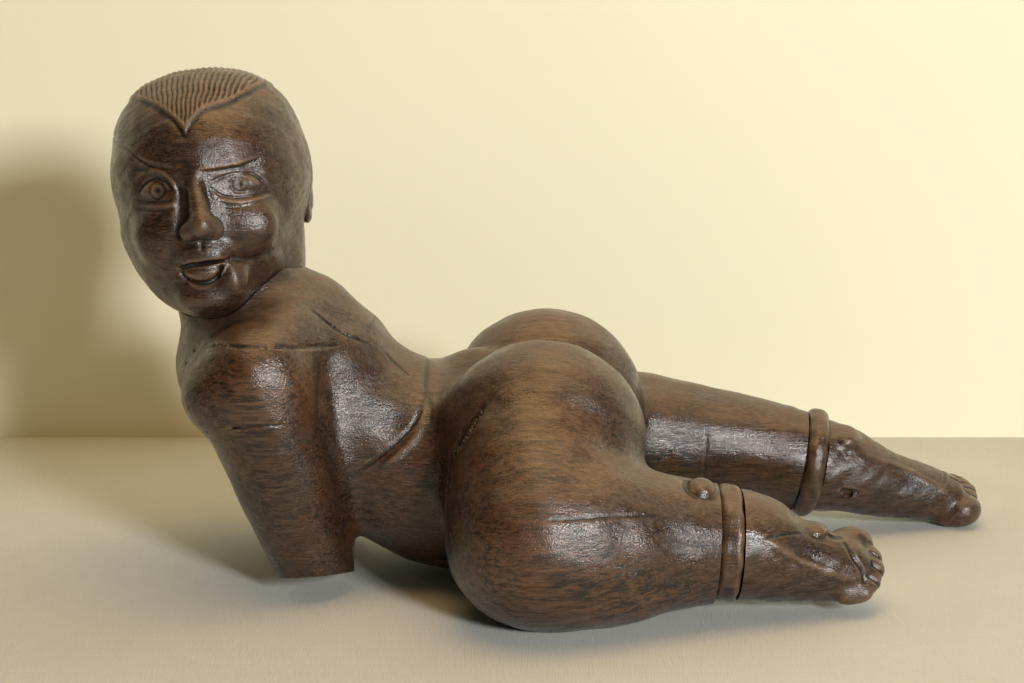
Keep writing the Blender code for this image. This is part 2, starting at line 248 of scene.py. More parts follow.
class Carved:
    """A mass with knobs raised on it and lines cut into it.

    A knob is (centre, radii, blend), a line (points, half width, depth, sharp), with sharp left out for round
    gouges, and an unevenness (height, wave length, seed). The lines are first drawn onto the mass.
    """

    def __init__(self, mass, knobs, lines, uneven):
        self.mass, self.knobs, self.uneven = mass, knobs, uneven
        self.lines = []
        for points, *shape in lines:
            path = rounded_path(points).astype(np.float32)
            self.lines.append((drawn(mass, path, 6.0, 8), *shape))

    def __call__(self, p):
        d = self.mass(p)
        near = np.flatnonzero(np.abs(d) < 12)
        if len(near):
            q, e = p[near], d[near]
            for centre, radii, blend in self.knobs:
                e = join(e, ellipsoid(q, centre, radii), blend)
            for path, *shape in self.lines:
                e = e + stroke(q, path, *shape)
            for height, length, seed in self.uneven:
                e = e + height * waves(q, length, seed)
            d[near] = e
        return d


# ---- from fields to meshes

BLOCK = 8
MOST_TRIANGLES = 196000
CORNERS = [(i, j, k) for i in (0, 1) for j in (0, 1) for k in (0, 1)]


def sampled(field, low, high, step):
    """The field on a fine grid. Only blocks near the surface are worked out, the rest keep their sign."""
    blocks = np.ceil((np.array(high, float) - low) / (step * BLOCK)).astype(int)
    low = np.array(low, np.float32)
    centres = np.stack(np.meshgrid(*[np.arange(n) for n in blocks], indexing="ij"), -1).reshape(-1, 3)
    middle = field(low + (centres + 0.5).astype(np.float32) * step * BLOCK)
    near = (np.abs(middle) < BLOCK * step * 1.35).reshape(blocks)
    size = blocks * BLOCK + 1
    grid = np.repeat(np.repeat(np.repeat(np.sign(middle).reshape(blocks), BLOCK, 0), BLOCK, 1), BLOCK, 2)
    grid = np.pad(grid, [(0, 1)] * 3, mode="edge").astype(np.float32) * 99
    live = np.zeros(size, bool)
    wide = np.repeat(np.repeat(np.repeat(near, BLOCK, 0), BLOCK, 1), BLOCK, 2)
    for i, j, k in CORNERS:
        live[i:i + wide.shape[0], j:j + wide.shape[1], k:k + wide.shape[2]] |= wide
    spots = np.argwhere(live)
    for start in range(0, len(spots), 400000):
        some = spots[start:start + 400000]
        grid[tuple(some.T)] = field(low + some.astype(np.float32) * step)
    return grid, low


def surface(field, low, high, step):
    """Surface nets: points drawn onto the field's zero level, quads, and the middles of the points' cells."""
    grid, low = sampled(field, low, high, step)
    inside = grid < 0
    count = np.zeros(np.array(grid.shape) - 1, np.uint8)
    sx, sy, sz = count.shape
    for i, j, k in CORNERS:
        count += inside[i:i + sx, j:j + sy, k:k + sz]
    cells = np.argwhere((count > 0) & (count < 8))
    number = np.full(count.shape, -1, np.int64)
    number[tuple(cells.T)] = np.arange(len(cells))
    total, hits = np.zeros((len(cells), 3)), np.zeros(len(cells))
    for corner in CORNERS:
        for axis in range(3):
            if corner[axis]:
                continue
            other = list(corner)
            other[axis] = 1
            a = grid[tuple((cells + corner).T)]
            b = grid[tuple((cells + other).T)]
            cross = (a < 0) != (b < 0)
            share = np.where(cross, a / np.where(cross, a - b, 1), 0)
            spot = cells + np.array(corner, float)
            spot[:, axis] += share
            total[cross] += spot[cross]
            hits += cross
    points = (low + step * total / hits[:, None]).astype(np.float32)
    quads = []
    for axis in range(3):
        u, v = (axis + 1) % 3, (axis + 2) % 3
        first = [slice(1, -1)] * 3
        second = [slice(1, -1)] * 3
        first[axis], second[axis] = slice(0, -1), slice(1, None)
        a, b = inside[tuple(first)], inside[tuple(second)]
        for flip, where in ((False, a & ~b), (True, b & ~a)):
            at = np.argwhere(where)
            at[:, u] += 1
            at[:, v] += 1
            ring = []
            for du, dv in ((-1, -1), (0, -1), (0, 0), (-1, 0)):
                spot = at.copy()
                spot[:, u] += du
                spot[:, v] += dv
                ring.append(number[tuple(spot.T)])
            quads.append(np.stack(ring[::-1] if flip else ring, 1))
    middles = (low + step * (cells + 0.5)).astype(np.float32)
    return drawn(field, points, step), np.concatenate(quads), middles


def slope(field, p, eps=0.25):
    """The field and its gradient."""
    d = field(p)
    g = np.empty_like(p)
    for axis in range(3):
        q = p.copy()
        q[:, axis] += eps
        g[:, axis] = (field(q) - d) / eps
    return d, g


def drawn(field, p, step, rounds=2):
    """Moves points onto the zero level, never by more than part of a cell a round."""
    for _ in range(rounds):
        d, g = slope(field, p)
        move = -d[:, None] * g / np.maximum((g * g).sum(1), 0.25)[:, None]
        size = np.sqrt((move * move).sum(1))
        p = p + move * np.minimum(1, 0.5 * step / np.maximum(size, 1e-6))[:, None]
    return p


def bordered(body, cut, p, middles, step, rounds=8):
    """Moves the points of the cells that a cut's border runs through onto the border, so that it is crisp."""
    w, g = slope(lambda q: body(q) - cut(q), middles)
    through = np.flatnonzero(np.abs(w) <= 0.5 * step * np.abs(g).sum(1))
    q = p[through]
    for _ in range(rounds):
        da, ga = slope(body, q)
        db, gb = slope(cut, q)
        aa, bb, ab = (ga * ga).sum(1) + 1e-3, (gb * gb).sum(1) + 1e-3, (ga * gb).sum(1)
        det = np.maximum(aa * bb - ab * ab, 0.02)
        u = (-da * bb + db * ab) / det
        v = (-db * aa + da * ab) / det
        move = u[:, None] * ga + v[:, None] * gb
        size = np.sqrt((move * move).sum(1))
        q = q + move * np.minimum(1, 0.6 * step / np.maximum(size, 1e-6))[:, None]
    off = q - middles[through]
    far = np.maximum(np.abs(body(q)), np.abs(cut(q)))
    kept = (np.abs(off) < 1.6 * step).all(1) & (far < 0.3 * step)
    p = p.copy()
    p[through[kept]] = q[kept]
    return p


def box_of(*stations, margin=12.0):
    """Corners of a box that holds the balls given, with a margin."""
    c = np.array([s[0] for s in stations], float)
    r = np.array([s[1] for s in stations], float)[:, None]
    return (c - r).min(0) - margin, (c + r).max(0) + margin


# ---- the body and its joints

def body_mass(p):
    d = join(limb(p, SPINE), limb(p, NECK))
    for centre, radii in (SHOULDERS, UPPER_BACK, LEFT_BUTTOCK, RIGHT_BUTTOCK):
        d = np.minimum(d, ellipsoid(p, centre, radii))
    for stations in (LEFT_ARM, mirrored(LEFT_ARM), LEFT_THIGH, LEFT_SHIN, RIGHT_THIGH, RIGHT_SHIN):
        d = np.minimum(d, limb(p, stations))
    return d


def seat(side):
    """The flat shoulder joint: how far past it, towards the middle."""
    point = (0, -side * SHOULDER_HALF, SHOULDER_LEVEL)
    normal = (0, side * math.cos(SHOULDER_LEAN), math.sin(SHOULDER_LEAN))

    def field(p):
        return beyond(p, point, normal)
    return field


def arm_region(side):
    """The room that an arm's block takes up. side is 1 for the left and -1 for the right."""
    stations = LEFT_ARM if side > 0 else mirrored(LEFT_ARM)
    centre, radii, _ = SHOULDER_FRONT

    def mass(p):
        d = limb(p, stations, ARM_REACH)
        return np.minimum(d, ellipsoid(p, centre, np.array(radii) + ARM_REACH)) if side > 0 else d

    grown = Blurred(mass, *box_of(*stations, margin=20), 4.0, 3.2)
    inner = seat(side)

    def field(p):
        return np.maximum(np.maximum(grown(p), inner(p)), p[:, 2] - SHOULDER_TOP)
    return field


def leg_region(side, limbs, buttock):
    """The room that a leg's block takes up."""
    def mass(p):
        d = ellipsoid(p, buttock[0], np.array(buttock[1]) + LEG_REACH)
        for stations in limbs:
            d = np.minimum(d, limb(p, stations, LEG_REACH))
        return d

    stations = [s for stations in limbs for s in stations] + [(buttock[0], 70)]
    grown = Blurred(mass, *box_of(*stations, margin=20), 4.0, 3.2)

    def field(p):
        inner = beyond(p, (0, -side * KEEL_HALF, 0), (0, side, 0))
        return np.maximum(np.maximum(grown(p), inner), beyond(p, HIP_POINT, HIP_NORMAL))
    return field


def rod(p, centre, axis, radius, length):
    """Distance to a rod centred on centre."""
    axis = np.array(axis, float) / np.linalg.norm(axis)
    d = p - np.array(centre, np.float32)
    along = d @ axis.astype(np.float32)
    across = np.sqrt(np.maximum((d * d).sum(1) - along * along, 0))
    return np.maximum(across - radius, np.abs(along) - length / 2)


# ---- head, in its own axes: the face looks along -y

def to_head(p):
    return (p - HEAD_CENTRE.astype(np.float32)) @ HEAD_TURN.astype(np.float32)


def to_frame(q):
    return q @ HEAD_TURN.T + HEAD_CENTRE


def head_mass(p):
    q = to_head(p)
    d = ellipsoid(q, (2.5, 6, 14), (67, 74.5, 69.5))
    for x in (-10, 14):
        d = np.minimum(d, ellipsoid(q, (x, 4, 33), (51, 58, 49)))
    d = np.minimum(d, ellipsoid(q, (-1, -8, -16), (55.8, 60.5, 67)))
    d = np.minimum(d, ellipsoid(q, (-20, -14, -20), (38.2, 40, 33)))
    d = np.minimum(d, ellipsoid(q, (0, -34, -58), (30, 26, 24)))
    d = np.minimum(d, ellipsoid(p, (-176, 6, 232), (37, 40.5, 36.5)))
    return np.minimum(d, ellipsoid(p, (-178, 10, 213), (39, 43, 35)))


class Head:
    """The carved head: the mass, with hair, brow, eyes, nose, mouth and ears."""

    HAIR_EDGE = ((-1, -63), (3, -60), (7, -57.5), (12.8, -54), (20.7, -49.6), (29, -44), (37, -33), (43, -19),
                 (47, -5), (48.5, 9), (46, 26), (38, 42), (24, 52), (6, 56), (-14, 54), (-31, 45), (-42, 30),
                 (-46.5, 12), (-46.5, -4), (-41.5, -19), (-34, -31), (-26, -40), (-16.7, -50), (-9, -56.5),
                 (-4.5, -60.5))

    CRACK = ((-60, -4, 45), (-52, -26.6, 38.8), (-40, -48, 30.7), (-27.7, -59.3, 21.7), (-9, -67.5, 16))

    def __init__(self):
        self.mass = Blurred(head_mass, (-290, -95, 165), (-110, 105, 360), 3.0, 6.0)
        self.hair = np.array(self.HAIR_EDGE, float)
        crack = to_frame(rounded_path(self.CRACK)).astype(np.float32)
        self.crack = to_head(drawn(self.mass, crack, 6.0, 8))

    def __call__(self, p):
        d = self.mass(p)
        near = np.flatnonzero(np.abs(d) < 20)
        if len(near):
            q = to_head(p[near])
            d[near] = self.carved(q, d[near])
        return d

    def carved(self, q, d):
        d = d + 0.22 * waves(q, 21, 5) + 0.08 * waves(q, 7, 6)
        front = np.flatnonzero(q[:, 1] < -18)
        if len(front):
            d[front] = self.face(q[front], d[front])
        side = np.flatnonzero(np.abs(q[:, 0]) > 45)
        if len(side):
            d[side] = self.ears(q[side], d[side])
        top = np.flatnonzero(q[:, 2] > 30)
        if len(top):
            d[top] -= self.hair_rise(q[top])
        return d + stroke(q, self.crack, 1.4, 1.8, taper=0.15)

    def hair_rise(self, q):
        """Height of the combed patch of hair above the scalp."""
        edge = self.hair
        x, y = q[:, 0], q[:, 1]
        inside = np.zeros(len(q), bool)
        gap = np.full(len(q), 1e9)
        for (ax, ay), (bx, by) in zip(edge, np.roll(edge, -1, axis=0)):
            ex, ey = bx - ax, by - ay
            t = np.clip(((x - ax) * ex + (y - ay) * ey) / (ex * ex + ey * ey), 0, 1)
            gap = np.minimum(gap, np.hypot(x - ax - t * ex, y - ay - t * ey))
            crosses = (ay > y) != (by > y)
            side = ax + (y - ay) * ex / (ey if abs(ey) > 1e-9 else 1e-9)
            inside ^= crosses & (x < side)
        depth = np.where(inside, gap, -gap)
        wobble = 0.05 * np.sin(y * 0.21 + 1.3) + 0.035 * np.sin(y * 0.47)
        turn = np.degrees(np.arctan2(x + 1, q[:, 2] + 33)) + wobble * 4
        comb = np.abs(((turn / 1.95) % 1.0) - 0.5) * 2
        lock = 1 - comb ** 2.2
        rise = fade(depth, -0.6, 0.8)
        grooves = 1.15 * (1 - lock) * fade(depth, -0.2, 3.5)
        return rise * (1.35 - grooves) - 0.15 * np.exp(-((depth + 0.9) / 0.8) ** 2)

    def face(self, q, d):
        flat = q[:, [0, 2]]
        x, z = flat[:, 0], flat[:, 1]
        # brow ledge: the eyes lie back under it
        brow = np.interp(x, (-40, -26, -9, -2, 15, 31, 41, 50), (31, 22, 16.5, 15.8, 15.6, 17, 20.6, 25))
        drop = brow - z
        right, left = fade(x, 4, 11) * (1 - fade(x, 34, 47)), (1 - fade(x, -12, -4)) * fade(x, -50, -36)
        across = np.where(x > 2, right, left)
        deep = np.where(x > 2, 1.9, 1.5)
        soft = np.where(x > 2, 2.0, 7.0)
        d = d + deep * across * fade(drop, 0, 1) * np.clip(drop / soft, 0, 1) * (1 - fade(drop, 9, 26))
        # cheeks, muzzle, chin
        for form, radii, blend in (((30.5, -48.2, -22), (20, 14, 18), 9), ((-24, -49, -25), (17, 13, 16), 9),
                                   ((3, -60, -38), (16, 9.5, 9), 7), ((19.5, -52.5, -55), (9.5, 9.4, 12), 5),
                                   ((2, -50, -66), (17, 11, 10), 8)):
            d = join(d, ellipsoid(q, form, radii), blend)
        # nose
        nose = cone(q, (1.0, -63.0, 11), 4.0, (5.4, -73.2, -15), 6.9)
        nose = join(nose, ellipsoid(q, (6, -75.3, -20.5), (7.8, 8.2, 7.8)), 4)
        for wx, wide in ((-3.6, 5.8), (13.4, 5.0)):
            nose = join(nose, ellipsoid(q, (wx, -70.0, -23.6), (wide, 6.0, 5.8)), 7)
        near_side = ((-8, 13), (-7, 5), (-7.6, -6), (-9.5, -17), (-11.5, -27))
        d = d + self.line(flat, near_side, 5.5, 1.4, taper=0.2)
        d = d + self.line(flat, ((9.5, 8), (10.5, -3), (14.5, -12)), 4.5, 0.4, taper=0.3)
        d = join(d, nose, 3.2)
        # eyes
        for (ex, ez), (a, b), ring in (((29.7, 4.0), (11.5, 6.6), 5.2), ((-22.5, 4.4), (11, 6.6), 4.9)):
            ey = -np.sqrt(max(0, 1 - (ex / 66) ** 2)) * 66.5
            d = join(d, ellipsoid(q, (ex, ey + 7.4, ez), (a, 7.4, b)), 2.0)
            r = np.hypot(x - ex, z - ez)
            d = d + 0.45 * np.clip(1 - np.abs(r - ring) / 1.3, 0, 1) + 0.5 * np.clip(1 - r / 2.6, 0, 1)
        lines = (  # points across the face, half width, depth
            (((11.5, 4.5), (14, 7.2), (21.9, 10), (30.9, 11), (39.5, 8.6), (47, -0.6)), 1.9, 0.75),
            (((17, 12.2), (27, 14), (38, 13.2), (45, 9)), 2.0, 0.35),
            (((12, 3), (18.7, -2.6), (29.2, -4.6), (40, -3.6), (47, -1.4)), 1.6, 0.7),
            (((15, -3.8), (22, -6.4), (31, -7.4), (41, -6.4), (49, -4)), 1.8, -0.85),
            (((16, -7.6), (26, -10.6), (38, -10)), 2.4, 0.45),
            (((-35, 4), (-30, 10), (-22, 12), (-15, 8.5), (-12, 3.5)), 1.8, 0.8),
            (((-41, 10), (-33, 15.6), (-22, 16.4), (-14, 12), (-10.6, 4.5), (-10, -3)), 2.4, -0.7),
            (((-40, 17), (-28, 20.5), (-16, 18.5), (-9.5, 13)), 2.4, 0.4),
            (((-40, 0.5), (-32, -1.6), (-22, -3), (-12, -2.6)), 1.5, 0.6),
            (((-40, -3), (-30, -5.2), (-20, -6), (-11, -5.6)), 1.8, -0.45),
            (((-40, -6), (-28, -8.4), (-12, -8.8)), 1.8, 0.55),
            (((3.4, -30), (3.8, -37)), 2.8, 0.7))
        for points, width, depth in lines:
            d = d + self.line(flat, points, width, depth, taper=0.2)
        # mouth
        d = join(d, ellipsoid(q, (4.5, -64.5, -41.0), (10, 3.4, 2.6)), 2.5)
        d = join(d, ellipsoid(q, (1.4, -60.5, -50.0), (12.5, 5.4, 5.2)), 2.0)
        under_lip = ((-14, -46), (-11.5, -50), (-7.5, -54), (-1.5, -57), (5.5, -56.4), (11, -52.4),
                     (15.2, -46))
        d = d + self.line(flat, under_lip, 2.5, 1.35, taper=0.12)
        d = d - self.line(flat, ((16.2, -45.5), (14.6, -50), (12, -54)), 1.4, 0.7, taper=0.3)
        lips = ((-13.4, -46), (-7, -45), (0, -44.6), (7, -44.2), (13, -43.8), (17.5, -43.6))
        gap, t = along_path(flat, rounded_path(lips))
        slot = np.maximum(gap - (0.4 + 1.2 * np.maximum(np.sin(t * math.pi), 0) ** 0.6), q[:, 1] + 57)
        d = cut_away(d, slot, 1.2)
        d = cut_away(d, ellipsoid(q, (-13.8, -64.8, -46.2), (3.2, 4.8, 3.2)), 2.0)
        d = cut_away(d, ellipsoid(q, (18.4, -63.2, -43.6), (1.4, 2.6, 1.3)), 1.2)
        folds = (  # beside and below the mouth
            (((18, -41), (23, -46.5), (25.5, -55), (25, -64)), 5.0, 1.0),
            (((16, -38), (20, -41.8), (29, -43.4), (43, -39.5), (51, -34)), 5.0, 1.0),
            (((-14, -33), (-19, -39), (-22, -47)), 5.0, 0.8),
            (((-15, -60), (0, -64.5), (14, -65)), 4.5, 0.6))
        for points, width, depth in folds:
            d = d + self.line(flat, points, width, depth, taper=0.3)
        return d

    def line(self, flat, points, width, depth, taper):
        return stroke(flat, rounded_path(points), width, depth, taper=taper)

    def ears(self, q, d):
        for side, x, y, z in ((1, 61.5, 21, 0), (-1, -57.0, 27, 0)):
            shell = ellipsoid(q, (x, y, z), (5.6, 15, 25))
            e = np.hypot((q[:, 1] - y - 1) / 15, (q[:, 2] - z - 1) / 25)
            out = fade(q[:, 0] * side, 50, 60)
            groove = 1.2 * np.clip(1 - np.abs(e - 0.72) / 0.15, 0, 1)
            shell = shell + out * (groove + 2.2 * (1 - fade(e, 0.2, 0.6)))
            d = join(d, shell, 2.5)
            d = d + out * 0.7 * np.clip(1 - np.abs(e - 1.06) / 0.12, 0, 1)
        return d


# ---- feet

LEFT_SOLE = (((143, -88, 46.2), 36.2), ((155, -87, 44.3), 34.5), ((169, -86, 38.1), 30.2),
             ((179, -85, 35.1), 27.6), ((200, -83, 30), 24.0), ((214, -81, 27.5), 21.5))
LEFT_TOES = (((228, -62, 36.5), 11.5), ((235, -74, 32), 8.5), ((236, -83, 26.5), 8.0),
             ((233, -91, 21), 7.5), ((227, -98, 16.5), 7.0))
RIGHT_SOLE = (((222, 88.5, 48), 34.5), ((242, 89, 43.9), 31.0), ((257, 90, 37.6), 27.7),
              ((274, 92, 31.5), 24.5), ((299, 95, 25), 21.5), ((318, 98, 20), 18.0))
RIGHT_TOES = (((335, 90, 12.5), 12.0), ((339, 103, 16.5), 8.5), ((340, 111, 19.5), 7.8),
              ((337, 119, 21.5), 7.5), ((332, 127, 22.5), 7.0))


def unit(v):
    return np.array(v, float) / np.linalg.norm(v)


CLEFT = ((-20, 0, 142), (8, 0, 160), (34, 0, 168), (62, 0, 150), (80, 0, 118))
BODY_LINES = (  # points, half width, depth
    (((-206, -60, 168), (-194, -72, 175), (-175, -89, 178), (-159, -90, 178), (-144, -84, 176),
      (-136, -75, 174), (-112, -48, 170)), 1.9, 2.6),
    (((-190, -88, 125), (-166, -101, 129), (-144, -97, 129)), 1.5, 1.1),
    (((-134, -44, 193), (-119, -41, 181), (-106, -40, 173), (-94, -33, 166)), 1.7, 1.5),
    (((-90, 6, 178), (-93, 1, 177), (-98, -20, 172), (-96, -33, 169)), 1.6, 1.4),
    (((-85, -24, 159), (-76, -26, 150), (-68, -29, 144)), 1.6, 1.2),
    (((15, -159, 85), (41, -155, 85), (66, -146, 84), (91, -135, 80)), 1.6, 0.9),
    (((99, -138, 67), (112, -134, 62), (125, -130, 58)), 1.5, 0.8),
    (((-204, -38, 168), (-212, -32, 155), (-213, -40, 138), (-194, -83, 125)), 4.5, 0.8),
    (((-125, -64, 165), (-124, -69, 144), (-124, -77, 126), (-120, -76, 109), (-115, -72, 85),
      (-110, -64, 55)), 9.0, 1.5),
    (((-124, -68, 150), (-123, -77, 126), (-119, -76, 106)), 2.2, 0.5),
    (((-9, -90, 146), (-17, -91, 140), (-27, -93, 129), (-34, -93, 115), (-40, -90, 103), (-41, -102, 82),
      (-40, -120, 66), (-38, -128, 47)), 4.5, 1.5),
    (((-57, 40, 133), (-57, 24, 143), (-57, 0, 147), (-57, -24, 143), (-56, -40, 133), (-52, -55, 112)),
     3.6, 0.8),
    (((-56, -40, 133), (-65, -56, 117), (-80, -62, 103), (-94, -63, 92), (-109, -65, 82)), 2.4, 1.0),
    (((-55, -45, 128), (-62, -58, 112), (-75, -65, 99), (-88, -66, 89)), 4.5, -0.8),
    (((139, 60, 82), (139, 52, 64), (139, 57, 44), (139, 75, 32)), 1.5, 1.0),
    (((118, -112, 84), (112, -110, 87), (110, -103, 90), (112, -94, 91)), 3.0, 2.2),
    (CLEFT, 9.0, 3.0),
    (CLEFT, 2.4, 1.6))
BODY_UNEVEN = ((0.28, 26, 11), (0.03, 8, 12))

LEFT_FOOT_KNOBS = (((196, -88, 56), (8, 9, 4), 4), ((222, -68, 43), (12, 9, 8), 4))
LEFT_FOOT_LINES = (
    (((150, -117, 65), (173, -116, 51), (197, -108, 36), (224, -100, 25)), 5.0, -1.0),
    (((156, -119, 59), (170, -112, 60), (185, -102, 58)), 1.2, 1.1, True),
    (((203, -92, 55), (209, -90, 51), (214, -84, 48)), 3.0, 1.6),
    (((213, -90, 47), (217, -93, 45), (221, -98, 39), (226, -98, 31), (228, -100, 22)), 3.0, 2.2),
    (((230, -70, 42), (236, -68, 33), (238, -66, 24)), 2.0, 2.0),
    (((232, -80, 38), (241, -79, 30), (241, -76, 20)), 2.0, 2.0),
    (((230, -88, 34), (240, -88, 26), (240, -84, 16)), 2.0, 2.0),
    (((228, -95, 28), (237, -95, 20), (236, -92, 12)), 2.0, 2.0))
RIGHT_FOOT_KNOBS = (((241, 78, 70), (12, 14, 9), 4), ((331, 85, 11), (10, 9, 9), 4))
RIGHT_FOOT_LINES = (
    (((262, 70, 56), (279, 76, 51), (301, 78, 39), (327, 82, 22)), 5.0, -0.8),
    (((322, 92, 38), (330, 95, 34), (341, 96, 24), (342, 96, 12)), 2.1, 3.2),
    (((320, 101, 38), (331, 103, 34), (342, 104, 26), (343, 104, 14)), 2.1, 3.2),
    (((318, 109, 37), (329, 111, 34), (341, 112, 27), (342, 112, 16)), 2.1, 3.2),
    (((316, 117, 36), (326, 119, 34), (338, 120, 28), (340, 120, 18)), 2.1, 3.2),
    (((318, 80, 36), (320, 96, 41), (314, 112, 41)), 2.6, 1.4),
    (((236, 58, 38), (244, 59, 36), (251, 61, 34)), 3.4, 2.2))
FOOT_UNEVEN = ((0.20, 14, 21), (0.03, 5, 22))


RING_WIDTH = 16.0
TENON_RADIUS, TENON_ROOT = 18.0, 12.0  # the root is the part that starts inside the leg
PEG_HOLE = 3.8


class Ankle:
    """Where a leg's tenon passes through its anklet into the foot, and where the peg goes in."""

    def __init__(self, centre, axis, radius, tenon, outward, rounding):
        """radius is the anklet's, rounding that of its outer edges. tenon is its depth in the foot."""
        self.centre, self.axis, self.radius, self.tenon = np.array(centre, float), unit(axis), radius, tenon
        out = np.array(outward, float)
        self.out = unit(out - self.axis * (out @ self.axis))
        self.peg = self.centre + self.axis * (RING_WIDTH / 2 + tenon * 0.66)
        self.rounding = rounding


LEFT_ANKLE = Ankle((138.6, -87.5, 46.8), (0.998, 0.01, -0.05), 37.8, 20, (0, 0.92, -0.39), 5.0)
RIGHT_ANKLE = Ankle((218, 88.5, 49), (0.985, -0.04, -0.16), 40.0, 30, (0, -0.92, -0.39), 7.0)


def foot_mass(sole, toes):
    def field(p):
        d = limb(p, sole)
        for (x, y, z), r in toes:
            d = np.minimum(d, cone(p, (x - 12, y, z - 2), r, (x, y, z), r))
        return d
    return field


# ---- pieces

def crisp(mesh, kinds):
    """Marks the edges between faces of different kinds as sharp."""
    edges = np.empty(len(mesh.loops), np.int32)
    mesh.loops.foreach_get("edge_index", edges)
    loop_kinds = np.repeat(kinds.astype(np.int32), len(mesh.loops) // len(kinds))
    least, most = np.full(len(mesh.edges), 9), np.full(len(mesh.edges), -9)
    np.minimum.at(least, edges, loop_kinds)
    np.maximum.at(most, edges, loop_kinds)
    sharp = np.empty(len(mesh.edges), bool)
    layer = mesh.attributes.get("sharp_edge") or mesh.attributes.new("sharp_edge", "BOOLEAN", "EDGE")
    layer.data.foreach_get("value", sharp)
    layer.data.foreach_set("value", sharp | (least != most))


def mesh_object(name, points, faces, layers, kinds=None):
    """An object from points in millimetres, faces, named values for its points and a kind for each face."""
    mesh = bpy.data.meshes.new(name)
    mesh.vertices.add(len(points))
    mesh.vertices.foreach_set("co", (points * MM).astype(np.float32).ravel())
    mesh.loops.add(faces.size)
    mesh.loops.foreach_set("vertex_index", faces.astype(np.int32).ravel())
    mesh.polygons.add(len(faces))
    mesh.polygons.foreach_set("loop_start", np.arange(0, faces.size, faces.shape[1], dtype=np.int32))
    mesh.update(calc_edges=True)
    mesh.validate()
    for key, values in layers.items():
        layer = mesh.attributes.new(key, "FLOAT", "POINT")
        layer.data.foreach_set("value", values.astype(np.float32))
    mesh.shade_smooth()
    mesh.set_sharp_from_angle(angle=math.radians(48))
    if kinds is not None:
        crisp(mesh, kinds)
    thing = bpy.data.objects.new(name, mesh)
    bpy.context.scene.collection.objects.link(thing)
    return thing


def hollowness(field, p, reach=2.2):
    """How hollow the surface is: positive in grooves, negative on edges."""
    total = -6 * field(p)
    for axis in range(3):
        for way in (-reach, reach):
            q = p.copy()
            q[:, axis] += way
            total += field(q)
    return -total / reach


def thinned(points, faces, most):
    """The same surface with at most that many triangles, taken where it is flattest."""
    if 2 * len(faces) <= most:
        return points, faces
    thing = mesh_object("thinned", points, faces, {})
    fewer = thing.modifiers.new("fewer", "DECIMATE")
    fewer.ratio = most / (2 * len(faces))
    fewer.use_collapse_triangulate = True
    mesh = bpy.data.meshes.new_from_object(thing.evaluated_get(bpy.context.evaluated_depsgraph_get()))
    points = np.empty(len(mesh.vertices) * 3, np.float32)
    mesh.vertices.foreach_get("co", points)
    faces = np.empty(len(mesh.loops), np.int32)
    mesh.loops.foreach_get("vertex_index", faces)
    bpy.data.objects.remove(thing)
    return points.reshape(-1, 3) / MM, faces.reshape(-1, 3)


def carve(kind, node, body, cut, low, high, step, extra=None):
    """Sculpts the piece that covers a node: the body kept where cut is negative, joined with extra."""
    def field(p):
        whole = np.maximum(body(p), cut(p))
        return np.minimum(whole, extra(p)) if extra else whole

    points, faces, middles = surface(field, low, high, step)
    points = bordered(body, cut, points, middles, step)
    points, faces = thinned(points, faces, MOST_TRIANGLES)
    # the hollowness drives painted shade in grooves and lighter wear on edges
    layers = {"hollow": hollowness(body, points)}
    for key, mark in MARKS.items():
        layers[key] = mark(points)
    centres = points[faces].mean(1).astype(np.float32)
    thing = mesh_object(f"{kind}_{node}", points, faces, layers, cut(centres) > body(centres))
    slot, material = WOODS[kind]
    thing.data.materials.append(material)
    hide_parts(node)
    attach(thing, "root")
    return thing


# ---- materials

class Nodes:
    """Short names for building a node tree."""

    def __init__(self, name):
        self.material = bpy.data.materials.new(name)
        self.material.use_nodes = True
        self.tree = self.material.node_tree
        self.shader = self.tree.nodes["Principled BSDF"]

    def put(self, kind, **settings):
        node = self.tree.nodes.new(kind)
        for key, value in settings.items():
            setattr(node, key, value)
        return node

    def link(self, source, node, socket):
        if isinstance(source, (int, float, tuple)):
            node.inputs[socket].default_value = source
        else:
            self.tree.links.new(source, node.inputs[socket])

    def spot(self, scale):
        """Object coordinates, stretched."""
        if not hasattr(self, "where"):
            self.where = self.put("ShaderNodeTexCoord").outputs["Object"]
        node = self.put("ShaderNodeMapping")
        node.inputs["Scale"].default_value = scale
        self.link(self.where, node, "Vector")
        return node.outputs["Vector"]

    def noise(self, where, scale=1.0, detail=3.0, rough=0.5, warp=0.0):
        node = self.put("ShaderNodeTexNoise")
        self.link(where, node, "Vector")
        for key, value in (("Scale", scale), ("Detail", detail), ("Roughness", rough), ("Distortion", warp)):
            node.inputs[key].default_value = value
        return node.outputs["Fac"]

    def value(self, name):
        return self.put("ShaderNodeAttribute", attribute_name=name).outputs["Fac"]

    def sum(self, operation, a, b):
        node = self.put("ShaderNodeMath", operation=operation)
        self.link(a, node, 0)
        self.link(b, node, 1)
        return node.outputs[0]

    def ramp(self, source, low, high, to_low=0.0, to_high=1.0):
        """Smoothly from to_low at low to to_high at high."""
        node = self.put("ShaderNodeMapRange", interpolation_type="SMOOTHSTEP")
        for i, each in enumerate((source, low, high, to_low, to_high)):
            self.link(each, node, i)
        return node.outputs[0]

    def mix(self, share, a, b):
        """Colour a, with a share of colour b."""
        node = self.put("ShaderNodeMix", data_type="RGBA")
        for socket, each in ((0, share), (6, a), (7, b)):
            if isinstance(each, tuple):
                each = (*each, 1.0)
            self.link(each, node, socket)
        return node.outputs[2]

    def bump(self, height, strength, distance):
        node = self.put("ShaderNodeBump")
        self.link(height, node, "Height")
        self.link(strength, node, "Strength")
        self.link(distance, node, "Distance")
        return node.outputs["Normal"]

    def finish(self, colour, roughness, normal, specular=0.5):
        self.link(colour, self.shader, "Base Color")
        self.link(roughness, self.shader, "Roughness")
        self.link(normal, self.shader, "Normal")
        self.link(specular, self.shader, "Specular IOR Level")
        return self.material


